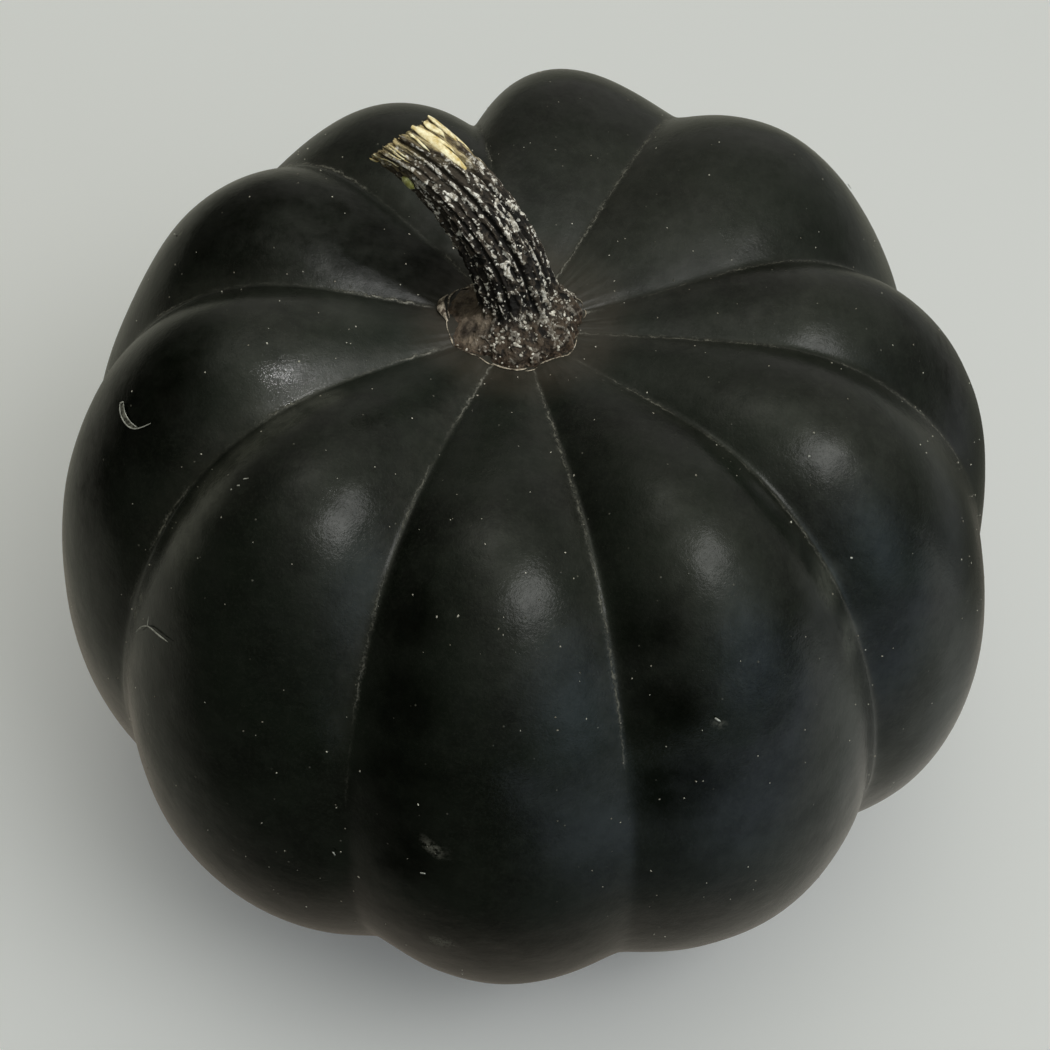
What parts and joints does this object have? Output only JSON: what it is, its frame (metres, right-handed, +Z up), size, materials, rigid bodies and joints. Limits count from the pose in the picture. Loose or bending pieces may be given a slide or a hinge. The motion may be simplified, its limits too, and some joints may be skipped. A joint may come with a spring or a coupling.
{
  "type": "ornamental pumpkin",
  "caption": "Small, squat, deeply ribbed pumpkin with a blackish green rind and a short, bent, woody stem. It stands on a table or shelf as a decoration.",
  "frame": {"origin": "On the ground, under the middle of the outline as seen from above.", "axes": "+Z points up, from the blossom end towards the stem. The stem leans towards -X. -Y is the front."},
  "size_m": [0.1162, 0.1194, 0.1018],
  "materials": {
    "rind": "satin",
    "stem": "matte"
  },
  "bodies": {
    "root": {"fruit": "rind", "stem": "stem"}
  },
  "joints": []
}
